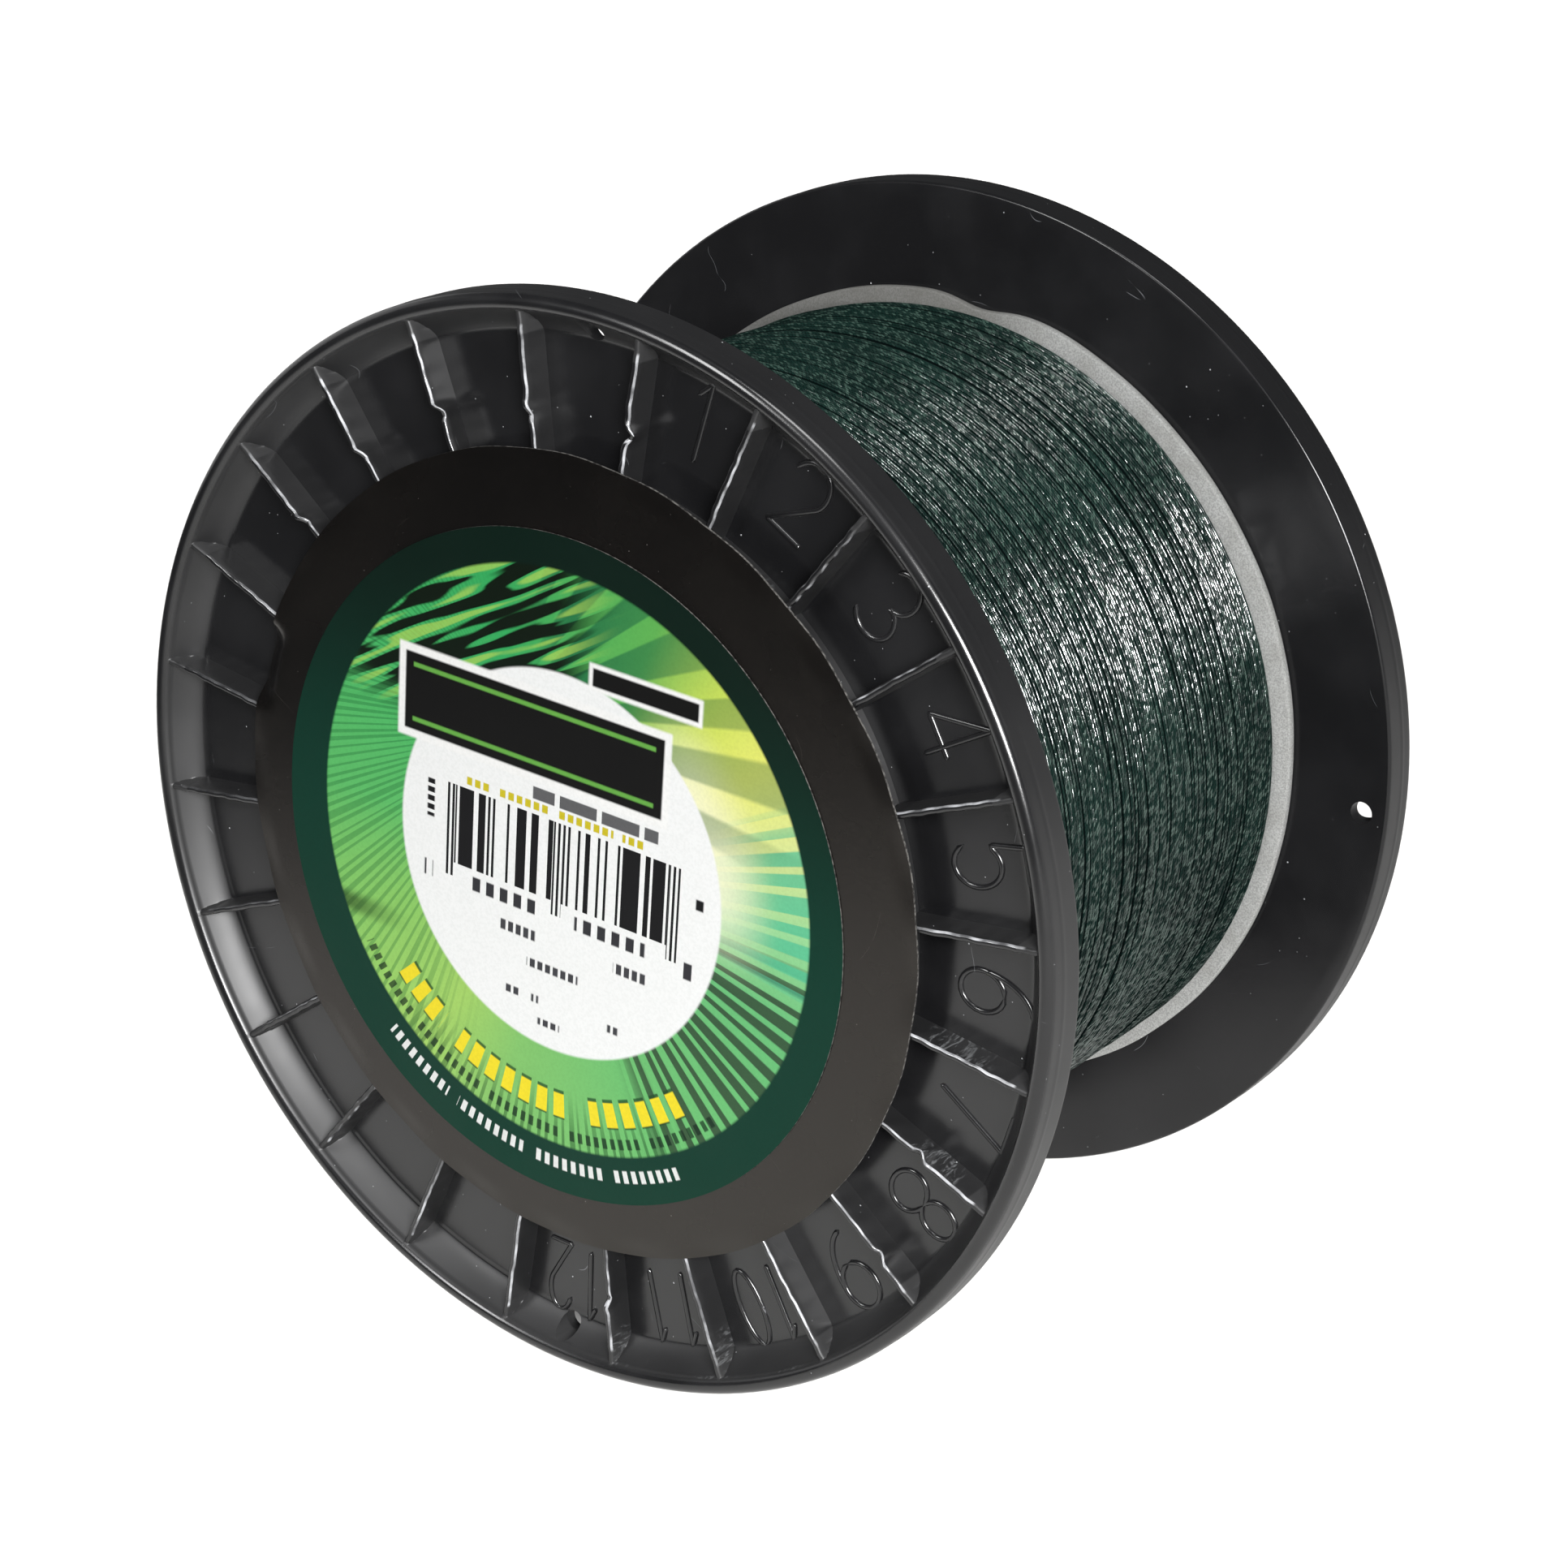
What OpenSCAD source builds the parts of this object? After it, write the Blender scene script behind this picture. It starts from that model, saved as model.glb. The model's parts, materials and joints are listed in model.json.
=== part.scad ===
// Bulk spool of braided fishing line. Two flanges from one mould close the ends of a hollow core.
// The spool's axis is Y, through the origin, and the labelled face looks towards -Y.
// It stands on its two rims, so the floor is half a flange diameter below the origin.

/* [Spool] */
// Outer diameter of the two flanges
flange_d = 120; // [118:0.5:124]
// Width of the spool between the crests of its two rims
spool_w = 74.4; // [70:0.2:80]
// Diameter of the bore that takes the winding spindle
bore_d = 16; // [12:0.1:20]

/* [Flange] */
// Thickness of the flange's web
web_t = 1.5; // [1.2:0.1:2]
// Depth of the web's outer face below the crest of the rim
recess = 3.8; // [3:0.1:4.5]
// Thickness of the rim's rounded lip
lip_t = 1.9; // [1.5:0.1:2.2]
// How far the rim's inner wall leans in on its way down to the web
lip_lean = 2.2; // [1:0.1:2.6]
// Radius on the rim's shoulder, on the side of the line
shoulder = 0.35; // [0.2:0.05:0.5]
// Outer diameter of the boss around the bore
boss_d = 23; // [22:0.5:26]
// Number of spokes between the boss and the seat ring
spokes = 8; // [6:1:12]
// Outer diameter of the seat ring, just inside the edge of the backing label
seat_ring_d = 84.2; // [80:0.2:84.4]
// Thickness of the seat ring
seat_ring_t = 1.8; // [1.4:0.1:2.2]

/* [Ribs] */
// Number of radial ribs between the seat ring and the rim
ribs = 24; // [16:1:30]
// Angle of the first rib
rib_start = 4.6; // [0:0.1:14]
// Thickness of a rib along its top
rib_top_t = 0.8; // [0.6:0.1:1]
// Thickness of a rib at the web
rib_foot_t = 1.1; // [1:0.1:1.4]
// How far the face that carries the label lies below the crest of the rim
seat_drop = 0.5; // [0.5:0.1:0.9]

/* [Line holes] */
// Number of holes for the line's loose end, spread evenly round the flange
line_holes = 2; // [1:1:3]
// Diameter of a line hole
line_hole_d = 2.6; // [2:0.1:3.2]
// Distance of the line holes from the axis
line_hole_at = 56.8; // [55:0.1:57]
// Angle of the first line hole on the moulding, in the middle of a bay
line_hole_angle = 267; // [0:0.5:360]
// Turn of the rear flange on the core, which moves its holes round
rear_turn = -84; // [-180:1:180]

/* [Core] */
// Outer diameter of the core that the line is wound on
core_d = 62; // [58:0.5:66]
// Thickness of the core's outer wall
core_wall = 2; // [1.6:0.1:2.4]
// Wall thickness of the tube around the bore
tube_wall = 2.4; // [2:0.1:2.6]
// Number of partitions between the tube and the outer wall
partitions = 6; // [4:1:8]
// Thickness of a partition
partition_t = 1.6; // [1.2:0.1:2]
// Depth of the ring on each flange that centres it in the core
spigot_h = 3; // [2:0.5:4]

/* [Line and washers] */
// Diameter of the wound line at its surface
pack_d = 93.2; // [88:0.2:94]
// Radius at the edges of the wound line
pack_edge = 1.2; // [0.6:0.1:2]
// Outer diameter of the washers at the ends of the winding
washer_d = 96.6; // [95:0.2:98]
// Thickness of a washer
washer_t = 1.2; // [0.8:0.1:1.6]
// Width of the tape that holds the line's first turn
tape_w = 12; // [8:1:19]
// Thickness of the tape
tape_t = 0.15; // [0.1:0.05:0.3]
// Angle that the tape covers on the core
tape_angle = 60; // [30:5:90]

/* [Labels] */
// Diameter of the black backing label
backing_d = 88.6; // [84:0.2:90]
// Thickness of the backing label
backing_t = 0.25; // [0.2:0.05:0.3]
// Diameter of the printed label
label_d = 74.4; // [70:0.2:76]
// Thickness of the printed label
label_t = 0.15; // [0.1:0.05:0.15]
// How far the printed label sits to the left of the axis
label_left = 1.5; // [0:0.1:2]
// How far the printed label sits below the axis
label_low = 1.4; // [0:0.1:2]

/* [Hidden] */

$fn = 96;
flange_r = flange_d / 2;
bore_r = bore_d / 2;
core_r = core_d / 2;
seat_ring_r = seat_ring_d / 2;

// Heights along the axis, measured outwards from the middle of the spool
crest = spool_w / 2;
web_out = crest - recess;
web_in = web_out - web_t;
seat = crest - seat_drop;
rib_top = seat - 0.05;
lip_mid = crest - lip_t / 2;
pack_end = web_in - washer_t;

// A rib's foot goes this far into the web, and its ends as far into the walls it joins
overlap = 0.5;
// Play between a flange's ring and the core
spigot_play = 0.05;
spigot_r = core_r - core_wall - spigot_play;
spigot_wall = 2.3;
// The partitions stop short of the rings by this much
partition_play = 0.5;

plastic = [0.10, 0.10, 0.11];
felt = [0.60, 0.62, 0.61];

// Turns a shape that is built along +Z so that it looks out of the front, or of the rear
module facing_front() {
    rotate([90, 0, 0]) children();
}

module facing_rear() {
    rotate([90, 0, 180]) children();
}

// Half section of a flange: radius across, height up
module flange_section() {
    translate([bore_r, web_in]) square([flange_r - shoulder - bore_r, web_t]);
    translate([flange_r - shoulder, web_in + shoulder]) circle(r = shoulder);
    polygon([
        [flange_r - shoulder, web_in],
        [flange_r - shoulder, web_in + shoulder],
        [flange_r, web_in + shoulder],
        [flange_r, lip_mid],
        [flange_r - lip_t, lip_mid],
        [flange_r - lip_t - lip_lean, web_out],
        [flange_r - lip_t - lip_lean, web_in],
    ]);
    translate([flange_r - lip_t / 2, lip_mid]) circle(r = lip_t / 2);
    // Boss around the bore, and the seat ring
    translate([bore_r, web_in]) square([boss_d / 2 - bore_r, seat - web_in]);
    translate([seat_ring_r - seat_ring_t, web_in]) square([seat_ring_t, seat - web_in]);
    // Ring that goes into the core
    translate([spigot_r - spigot_wall, web_in - spigot_h]) square([spigot_wall, spigot_h + web_t / 2]);
}

// One rib with drafted sides, from radius r1 to radius r2
module rib(r1, r2) {
    translate([r1, 0, 0])
        rotate([90, 0, 90])
            linear_extrude(r2 - r1)
                polygon([
                    [-rib_foot_t / 2, web_out - overlap],
                    [rib_foot_t / 2, web_out - overlap],
                    [rib_top_t / 2, rib_top],
                    [-rib_top_t / 2, rib_top],
                ]);
}

// The moulding that both flanges are made from, looking out along +Z
module flange() {
    difference() {
        union() {
            rotate_extrude() flange_section();
            for (i = [0 : ribs - 1])
                rotate([0, 0, rib_start + i * 360 / ribs])
                    rib(seat_ring_r - overlap, flange_r - lip_t / 2 - overlap);
            for (i = [0 : spokes - 1])
                rotate([0, 0, rib_start + i * 360 / spokes])
                    rib(boss_d / 2 - overlap, seat_ring_r - seat_ring_t + overlap);
        }
        for (i = [0 : line_holes - 1])
            rotate([0, 0, line_hole_angle + i * 360 / line_holes])
                translate([line_hole_at, 0, web_in - overlap])
                    cylinder(d = line_hole_d, h = crest);
    }
}

module front_flange() {
    color(plastic) facing_front() flange();
}

module rear_flange() {
    color(plastic) facing_rear() rotate([0, 0, rear_turn]) flange();
}

// Outer wall and bore tube, joined by partitions that leave room for the flanges' rings
module core_barrel() {
    tube_r = bore_r + tube_wall;
    partition_end = web_in - spigot_h - partition_play;
    color([0.16, 0.16, 0.17]) facing_front() {
        rotate_extrude() {
            translate([core_r - core_wall, -web_in]) square([core_wall, 2 * web_in]);
            translate([bore_r, -web_in]) square([tube_wall, 2 * web_in]);
        }
        for (i = [0 : partitions - 1])
            rotate([0, 0, i * 360 / partitions])
                translate([tube_r - overlap, -partition_t / 2, -partition_end])
                    cube([core_r - core_wall - tube_r + 2 * overlap, partition_t, 2 * partition_end]);
    }
}

// Flat ring between a flange's web and the end of the winding
module washer() {
    rotate_extrude() translate([core_r, pack_end]) square([washer_d / 2 - core_r, washer_t]);
}

module front_washer() {
    color(felt) facing_front() washer();
}

module rear_washer() {
    color(felt) facing_rear() washer();
}

// Strip of tape bent round the core, under the first turns
module tape_strip() {
    rotate_extrude(angle = tape_angle) translate([core_r, -tape_w / 2]) square([tape_t, tape_w]);
}

module starter_tape() {
    color([0.85, 0.82, 0.70]) facing_front() tape_strip();
}

// All the turns of line as one body, rounded at the two edges of its surface
module wound_line() {
    pack_r = pack_d / 2;
    color([0.07, 0.16, 0.13]) facing_front() difference() {
        rotate_extrude() {
            translate([core_r, -pack_end]) square([pack_r - pack_edge - core_r, 2 * pack_end]);
            translate([core_r, pack_edge - pack_end]) square([pack_r - core_r, 2 * (pack_end - pack_edge)]);
            for (side = [-1, 1])
                translate([pack_r - pack_edge, side * (pack_end - pack_edge)]) circle(r = pack_edge);
        }
        tape_strip();
    }
}

// The backing label lies on the boss, the seat ring and the ribs, and the printed label lies on it
module backing_label() {
    color([0.05, 0.05, 0.05]) facing_front() translate([0, 0, seat]) cylinder(d = backing_d, h = backing_t);
}

module printed_label() {
    color([0.20, 0.65, 0.25]) facing_front()
        translate([-label_left, -label_low, seat + backing_t]) cylinder(d = label_d, h = label_t);
}

front_flange();
rear_flange();
core_barrel();
front_washer();
rear_washer();
starter_tape();
wound_line();
backing_label();
printed_label();
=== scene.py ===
"""Looks of the fishing line spool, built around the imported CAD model. Lengths are in metres.

The spool's axis is Y. The labelled front looks towards -Y, +Z is up, and both rims stand on the floor.
"""
import json
import math
from functools import reduce

import bmesh
import bpy
import numpy as np
from mathutils import Matrix, Vector


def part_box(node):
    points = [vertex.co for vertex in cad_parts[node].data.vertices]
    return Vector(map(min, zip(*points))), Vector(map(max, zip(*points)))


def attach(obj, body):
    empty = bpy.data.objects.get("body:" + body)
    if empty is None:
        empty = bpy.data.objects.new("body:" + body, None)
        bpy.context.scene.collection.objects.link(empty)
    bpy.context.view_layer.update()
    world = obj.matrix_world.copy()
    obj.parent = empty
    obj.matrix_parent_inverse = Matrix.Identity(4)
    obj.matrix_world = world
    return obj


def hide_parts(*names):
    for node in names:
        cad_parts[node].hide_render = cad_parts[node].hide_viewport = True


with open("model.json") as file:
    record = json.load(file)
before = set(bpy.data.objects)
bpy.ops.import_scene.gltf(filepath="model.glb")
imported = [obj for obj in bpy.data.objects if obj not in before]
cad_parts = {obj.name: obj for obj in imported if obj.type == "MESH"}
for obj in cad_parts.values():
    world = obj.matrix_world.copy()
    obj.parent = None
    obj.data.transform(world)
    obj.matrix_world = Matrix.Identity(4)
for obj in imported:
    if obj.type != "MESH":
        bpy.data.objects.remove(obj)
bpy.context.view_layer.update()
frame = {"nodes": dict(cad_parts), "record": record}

MM = 0.001
TAU = 2 * math.pi

# -------- sizes from the frame

FLANGE_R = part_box("front_flange")[1].x
CREST = -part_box("front_flange")[0].y
SPIGOT_END = -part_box("front_flange")[1].y
WEB_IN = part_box("rear_washer")[1].y
PACK_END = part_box("wound_line")[1].y
PACK_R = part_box("wound_line")[1].x
WASHER_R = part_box("rear_washer")[1].x
SEAT = -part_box("backing_label")[1].y
BACKING_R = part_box("backing_label")[1].x
BACKING_T = -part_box("backing_label")[0].y - SEAT
LABEL_LOW, LABEL_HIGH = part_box("printed_label")
LABEL_R = (LABEL_HIGH.x - LABEL_LOW.x) / 2
LABEL_X = (LABEL_HIGH.x + LABEL_LOW.x) / 2
LABEL_Z = (LABEL_HIGH.z + LABEL_LOW.z) / 2
LABEL_T = LABEL_HIGH.y - LABEL_LOW.y
BORE_R = frame["record"]["mounts"][0]["dims"]["r_mm"] * MM

# -------- sizes of the moulding

WEB_T = 1.5 * MM
LIP_T = 1.9 * MM
LIP_LEAN = 2.2 * MM
SHOULDER = 0.35 * MM
BOSS_R = 11.5 * MM
RING_OUT = 42.1 * MM
RING_IN = 40.3 * MM
SPIGOT_R = 28.95 * MM
SPIGOT_IN = 26.65 * MM
CORE_R = 31 * MM
DRAFT = 0.25 * MM
EDGE = 0.2 * MM
FILLET = 0.25 * MM

RIBS = 24
RIB_STEP = 360 / RIBS
RIB_START = 4.6
RIBS_PER_SPOKE = 3
REAR_TURN = -84
HOLE_R = 1.3 * MM
HOLE_AT = 56.8 * MM
HOLE_ANGLES = (267, 87)
# Height of the parting line on the rim's outside, its distance below the crest and half its width
PARTING_H = 0.05 * MM
PARTING_AT = 2.4 * MM
PARTING_W = 0.2 * MM

WEB_OUT = WEB_IN + WEB_T
LABEL_GAP = 0.05 * MM
RIB_TOP = SEAT - LABEL_GAP
LIP_R = LIP_T / 2
LIP_MID = CREST - LIP_R
WALL_FOOT = FLANGE_R - LIP_T - LIP_LEAN
COVE = 0.5 * MM


# -------- mesh helpers

def mesh_object(name, points, faces, smooth_to=None):
    """A mesh object with its normals outward; edges sharper than smooth_to degrees stay sharp."""
    mesh = bpy.data.meshes.new(name)
    mesh.from_pydata(np.reshape(points, (-1, 3)).tolist(), [], faces)
    work = bmesh.new()
    work.from_mesh(mesh)
    bmesh.ops.recalc_face_normals(work, faces=work.faces)
    work.to_mesh(mesh)
    work.free()
    if smooth_to:
        mesh.shade_smooth()
        mesh.set_sharp_from_angle(angle=math.radians(smooth_to))
    piece = bpy.data.objects.new(name, mesh)
    bpy.context.scene.collection.objects.link(piece)
    return piece


def grid_faces(rows, columns, wrap_rows=False, wrap_columns=False):
    """Four-sided faces of a grid of points that is stored row by row."""
    row, column = np.meshgrid(
        np.arange(rows if wrap_rows else rows - 1),
        np.arange(columns if wrap_columns else columns - 1),
        indexing="ij",
    )
    next_row = (row + 1) % rows
    next_column = (column + 1) % columns
    corners = [
        row * columns + column,
        row * columns + next_column,
        next_row * columns + next_column,
        next_row * columns + column,
    ]
    return np.stack(corners, -1).reshape(-1, 4).tolist()


def capped_faces(rows, columns):
    """Faces of a tube whose rings of points are stored one after another, and its two end caps."""
    caps = [list(range(columns)), list(range((rows - 1) * columns, rows * columns))]
    return grid_faces(rows, columns, wrap_columns=True) + caps


def set_uv(piece, uv):
    """Gives every face corner the UV of its point, in the layer that the braid's material reads."""
    corner = np.zeros(len(piece.data.loops), int)
    piece.data.loops.foreach_get("vertex_index", corner)
    piece.data.uv_layers.new(name="strand").data.foreach_set("uv", uv[corner].ravel())


def join(pieces):
    """Puts the meshes of all the pieces into the first one and removes the others."""
    work = bmesh.new()
    for piece in pieces:
        work.from_mesh(piece.data)
    work.to_mesh(pieces[0].data)
    work.free()
    for piece in pieces[1:]:
        bpy.data.objects.remove(piece)


def polar(radius, angle, height):
    """Points at a radius and an angle round +Z, and at a height along it."""
    return np.stack(np.broadcast_arrays(radius * np.cos(angle), radius * np.sin(angle), height), -1)


def stretch(start, end, step):
    """Points from start to just before end, about step apart."""
    start, end = np.array(start), np.array(end)
    count = max(1, round(float(np.linalg.norm(end - start)) / step))
    return start + (end - start) * np.arange(count)[:, None] / count


def bend(centre, radius, first, last, count):
    """Points of an arc from the angle first to just before last, in degrees."""
    angle = np.radians(first + (last - first) * np.arange(count) / count)
    return np.array(centre) + radius * np.stack([np.cos(angle), np.sin(angle)], 1)


def facing_front(points):
    """Turns points that are built along +Z so that they look out of the front."""
    x, y, z = np.moveaxis(points, -1, 0)
    return np.stack([x, -z, y], -1)


def facing_rear(points, turn=0.0):
    """The same for the rear, after a turn about the axis in degrees."""
    x, y, z = np.moveaxis(points, -1, 0)
    c, s = math.cos(math.radians(turn)), math.sin(math.radians(turn))
    return np.stack([-(c * x - s * y), z, s * x + c * y], -1)


def smooth_step(value, low, high):
    share = np.clip((value - low) / (high - low), 0, 1)
    return share * share * (3 - 2 * share)


def hump(value, centre, width):
    return np.exp(-((value - centre) / width) ** 2)


def wobble(rng, position, lengths, size):
    """A smooth random curve along position, made of waves of these lengths."""
    return sum(
        size / len(lengths) * rng.uniform(0.6, 1.4) * np.sin(TAU * (position / length + rng.random()))
        for length in lengths
    )


# -------- flange

# Half of a rib's cross section: distance from its middle, and share of its height there
RIB_ACROSS = np.array([0, 0.14, 0.24, 0.32, 0.39, 0.56]) * MM
RIB_SHARE = [1, 1, 0.985, 0.955, 0.90, 0]
# Columns of the mesh on each side of a rib's middle, and between two ribs
RIB_COLUMNS = np.array([0.12, 0.22, 0.3, 0.36, 0.42, 0.48, 0.56, 0.66, 0.9]) * MM
BAY_COLUMNS = 7
# What crosses a stretch of the section
NOTHING, SPOKES, BAY_RIBS = 0, 1, 2


def flange_outline():
    """Closed outline of the moulding's section, as (radius, height) points, and what crosses it there.

    The points are close together where the surface is seen, and further apart where it's hidden.
    """
    boss = [
        stretch((BORE_R, WEB_IN), (BORE_R, SEAT - EDGE), 1.2 * MM),
        bend((BORE_R + EDGE, SEAT - EDGE), EDGE, 180, 90, 3),
        stretch((BORE_R + EDGE, SEAT), (BOSS_R - EDGE, SEAT), 1 * MM),
        bend((BOSS_R - EDGE, SEAT - EDGE), EDGE, 90, 0, 3),
    ]
    pocket = [
        stretch((BOSS_R, SEAT - EDGE), (BOSS_R + DRAFT, WEB_OUT), 0.5 * MM),
        stretch((BOSS_R + DRAFT, WEB_OUT), (RING_IN - DRAFT, WEB_OUT), 1.2 * MM),
        stretch((RING_IN - DRAFT, WEB_OUT), (RING_IN, SEAT - EDGE), 0.5 * MM),
    ]
    ring = [
        bend((RING_IN + EDGE, SEAT - EDGE), EDGE, 180, 90, 3),
        stretch((RING_IN + EDGE, SEAT), (RING_OUT - EDGE, SEAT), 0.4 * MM),
        bend((RING_OUT - EDGE, SEAT - EDGE), EDGE, 90, 0, 3),
    ]
    # The lip's inner wall is a shallow cove that runs out of the web in a curve
    share = np.linspace(0, 1, 16)[:-1]
    wall_r = WALL_FOOT - COVE + (FLANGE_R - LIP_T - WALL_FOOT + COVE) * share ** 0.8
    wall_h = WEB_OUT + (LIP_MID - WEB_OUT) * share ** 1.35
    bay = [
        stretch((RING_OUT, SEAT - EDGE), (RING_OUT + DRAFT, WEB_OUT), 0.4 * MM),
        stretch((RING_OUT + DRAFT, WEB_OUT), (WALL_FOOT - COVE, WEB_OUT), 0.3 * MM),
        np.stack([wall_r, wall_h], 1),
        bend((FLANGE_R - LIP_R, LIP_MID), LIP_R, 180, 90, 9),
    ]
    outside = stretch((FLANGE_R, LIP_MID), (FLANGE_R, WEB_IN + SHOULDER), 0.24 * MM)
    outside[:, 0] -= PARTING_H * (1 - hump(outside[:, 1], CREST - PARTING_AT, PARTING_W))
    rest = [
        bend((FLANGE_R - LIP_R - PARTING_H, LIP_MID), LIP_R, 90, 0, 9),
        outside,
        bend((FLANGE_R - SHOULDER - PARTING_H, WEB_IN + SHOULDER), SHOULDER, 0, -90, 5),
        stretch((FLANGE_R - SHOULDER - PARTING_H, WEB_IN), (SPIGOT_R, WEB_IN), 1.5 * MM),
        stretch((SPIGOT_R, WEB_IN), (SPIGOT_R, SPIGOT_END), 1 * MM),
        stretch((SPIGOT_R, SPIGOT_END), (SPIGOT_IN, SPIGOT_END), 1 * MM),
        stretch((SPIGOT_IN, SPIGOT_END), (SPIGOT_IN, WEB_IN), 1 * MM),
        stretch((SPIGOT_IN, WEB_IN), (BORE_R, WEB_IN), 2 * MM),
    ]
    parts = [(boss, NOTHING), (pocket, SPOKES), (ring, NOTHING), (bay, BAY_RIBS), (rest, NOTHING)]
    outline = np.concatenate([np.concatenate(pieces) for pieces, _ in parts])
    crossed = np.concatenate([np.full(sum(map(len, pieces)), kind) for pieces, kind in parts])
    return outline, crossed


def smooth_max(a, b, blend):
    gap = np.maximum(blend - np.abs(a - b), 0)
    return np.maximum(a, b) + gap * gap / (4 * blend)


def rib_wear(rng, radius, kinks):
    """For each rib, how far its top is off its height and off its line, along the given radii."""
    lift, lean = [], []
    for index in range(RIBS):
        rib_lift = wobble(rng, radius, (7 * MM, 3.1 * MM, 1.7 * MM), 0.05 * MM)
        rib_lean = wobble(rng, radius, (16 * MM, 6 * MM, 2.3 * MM), 0.09 * MM)
        if index in kinks:
            at, step, bulge = kinks[index]
            rib_lean += step * MM * smooth_step(-radius, -at * MM - 0.5 * MM, -at * MM + 0.7 * MM)
            rib_lean += bulge * MM * hump(radius, (at - 0.6) * MM, 0.8 * MM)
            rib_lift += 0.22 * MM * hump(radius, at * MM, 0.45 * MM)
            rib_lift -= 0.35 * MM * hump(radius, (at - 1.1) * MM, 0.4 * MM)
        lift.append(rib_lift)
        lean.append(rib_lean)
    return np.array(lift), np.array(lean)


def flange_points(rng, kinks):
    """The moulding's surface, looking out along +Z, as a grid of rows round the axis."""
    outline, crossed = flange_outline()
    radius, height = outline[:, :1], outline[:, 1:]
    lift, lean = rib_wear(rng, outline[:, 0], kinks)
    half = math.radians(RIB_STEP) / 2
    offsets = np.concatenate([-RIB_COLUMNS[::-1], [0], RIB_COLUMNS])
    edge_angle = np.arcsin(RIB_COLUMNS[-1] / radius)
    blocks = []
    for index in range(RIBS):
        middle = math.radians(RIB_START + index * RIB_STEP)
        rib_angle = np.arcsin(offsets[None, :] / radius)
        ribbed = (crossed == BAY_RIBS) | ((crossed == SPOKES) & (index % RIBS_PER_SPOKE == 0))
        share = np.interp(np.abs(offsets), RIB_ACROSS, RIB_SHARE)[None, :]
        top = RIB_TOP - WEB_OUT + lift[index][:, None] + 2 * FILLET
        rib = WEB_OUT - 2 * FILLET + top * share
        level = np.where(ribbed[:, None], smooth_max(height, rib, FILLET), height)
        climb = np.clip((level - np.maximum(height, WEB_OUT)) / (RIB_TOP - WEB_OUT), 0, 1)
        rib_angle = rib_angle + lean[index][:, None] * climb / radius
        between = np.arange(1, BAY_COLUMNS + 1)[None, :] / (BAY_COLUMNS + 1)
        bay_angle = edge_angle + between * 2 * (half - edge_angle)
        angle = middle + np.concatenate([rib_angle, bay_angle], 1)
        level = np.concatenate([level, np.repeat(height, BAY_COLUMNS, 1)], 1)
        blocks.append(polar(radius, angle, level))
    return np.concatenate(blocks, 1)


def bead(path, width, height):
    """A raised moulded stroke along a flat path: its points about the path, and its faces."""
    path = np.asarray(path)
    ahead = np.gradient(path, axis=0)
    ahead /= np.linalg.norm(ahead, axis=1)[:, None]
    side = np.stack([-ahead[:, 1], ahead[:, 0]], 1)
    run = np.concatenate([[0], np.cumsum(np.linalg.norm(np.diff(path, axis=0), axis=1))])
    from_end = np.minimum(run, run[-1] - run)
    taper = np.sqrt(np.clip(1 - (1 - np.minimum(from_end / (width / 2), 1)) ** 2, 0.03, 1))
    section = np.radians(np.linspace(0, 180, 7))
    across = np.concatenate([np.cos(section), [-0.9, 0.9]]) * width / 2
    up = np.concatenate([np.sin(section) * height, [-0.15 * MM] * 2])
    flat = path[:, None] + side[:, None] * (across[None, :] * taper[:, None])[..., None]
    points = np.concatenate([flat, np.repeat(up[None, :, None], len(path), 0)], 2)
    return points.reshape(-1, 3), capped_faces(len(path), len(across))


def arc(x, y, rx, ry, first, last):
    angle = np.radians(np.linspace(first, last, 25))
    return np.stack([x + rx * np.cos(angle), y + ry * np.sin(angle)], 1)


def line(*corners):
    """A path through the corners with a point about every 0.05 of a digit's height."""
    legs = [stretch(a, b, 0.05) for a, b in zip(corners, corners[1:])]
    return np.concatenate(legs + [np.array([corners[-1]])])


# Strokes of each digit in a box from (-1, -1) to (1, 1)
DIGITS = {
    "0": [arc(0, 0, 1, 1, 90, 450)],
    "1": [line((-0.45, 0.6), (0.1, 1), (0.1, -1))],
    "2": [np.concatenate([arc(0, 0.42, 0.95, 0.58, 165, -35), line((-0.95, -1), (0.98, -1))])],
    "3": [arc(-0.05, 0.48, 0.85, 0.52, 150, -80), arc(-0.05, -0.48, 0.98, 0.52, 80, -150)],
    "4": [line((0.45, -1), (0.45, 1), (-1, -0.45), (1, -0.45))],
    "5": [np.concatenate([line((0.85, 1), (-0.75, 1), (-0.85, 0.1)), arc(0, -0.35, 0.95, 0.65, 135, -150)])],
    "6": [arc(0, -0.4, 0.92, 0.6, 90, 450), arc(0.7, -0.35, 1.6, 1.35, 95, 180)],
    "7": [line((-0.95, 1), (0.95, 1), (-0.3, -1))],
    "8": [arc(0, 0.5, 0.78, 0.5, -90, 270), arc(0, -0.5, 0.98, 0.5, 90, 450)],
    "9": [arc(0, 0.4, 0.92, 0.6, -90, 270), arc(-0.7, 0.35, 1.6, 1.35, -85, 0)],
}
# The numbers stand one to a bay, from the bay at this angle; a narrow pair fits where one wide digit would
NUMBER_AT = 51.6 * MM
NUMBER_H = 8.6 * MM
NUMBER_W = 4.8 * MM
NUMBER_COUNT = 12
NUMBER_BAY = 72.1
PAIR_SHARE = 0.62
DIGIT_STEP = 1.45
STROKE_W = 0.62 * MM
STROKE_H = 0.24 * MM


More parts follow.
